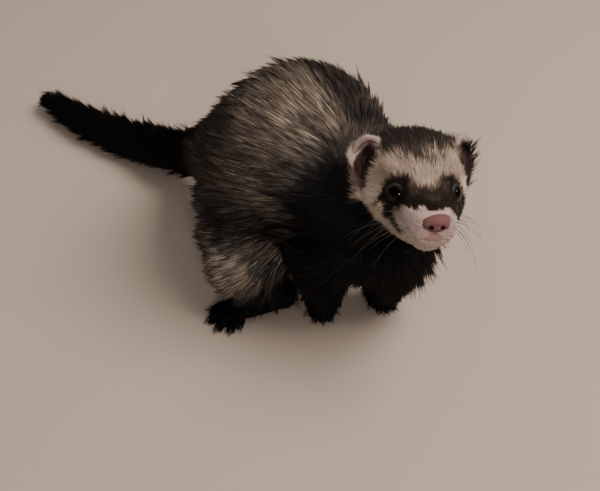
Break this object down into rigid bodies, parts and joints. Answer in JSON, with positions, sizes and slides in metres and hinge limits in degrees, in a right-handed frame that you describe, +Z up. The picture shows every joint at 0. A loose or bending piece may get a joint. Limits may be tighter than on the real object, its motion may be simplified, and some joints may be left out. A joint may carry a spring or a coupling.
{
  "type": "standing ferret",
  "caption": "Life-size still model of a ferret, crouched on its feet with an arched back, its tail laid on the floor and its masked head turned up.",
  "frame": {"origin": "on the floor, under the middle of the model's box", "axes": "+X along the trunk from the tail towards the head, +Y the animal's left, +Z up"},
  "size_m": [0.3018, 0.1142, 0.1194],
  "materials": {
    "coat": "soft fur, matte",
    "dark_coat": "soft dark fur, matte",
    "mask": "short soft fur, matte",
    "ear_skin": "bare skin with fine down, satin",
    "eye": "polished, glossy",
    "nose": "moist leather, satin"
  },
  "bodies": {
    "root": {"head": "mask", "nose": "nose", "eye_left": "eye", "eye_right": "eye", "ear_left": "ear_skin", "ear_right": "ear_skin", "neck": "dark_coat", "torso": "coat", "tail": "dark_coat", "foreleg_left": "dark_coat", "foreleg_right": "dark_coat", "forepaw_left": "dark_coat", "forepaw_right": "dark_coat", "hindleg_left": "coat", "hindleg_right": "coat", "hindfoot_left": "dark_coat", "hindfoot_right": "dark_coat"}
  },
  "joints": []
}
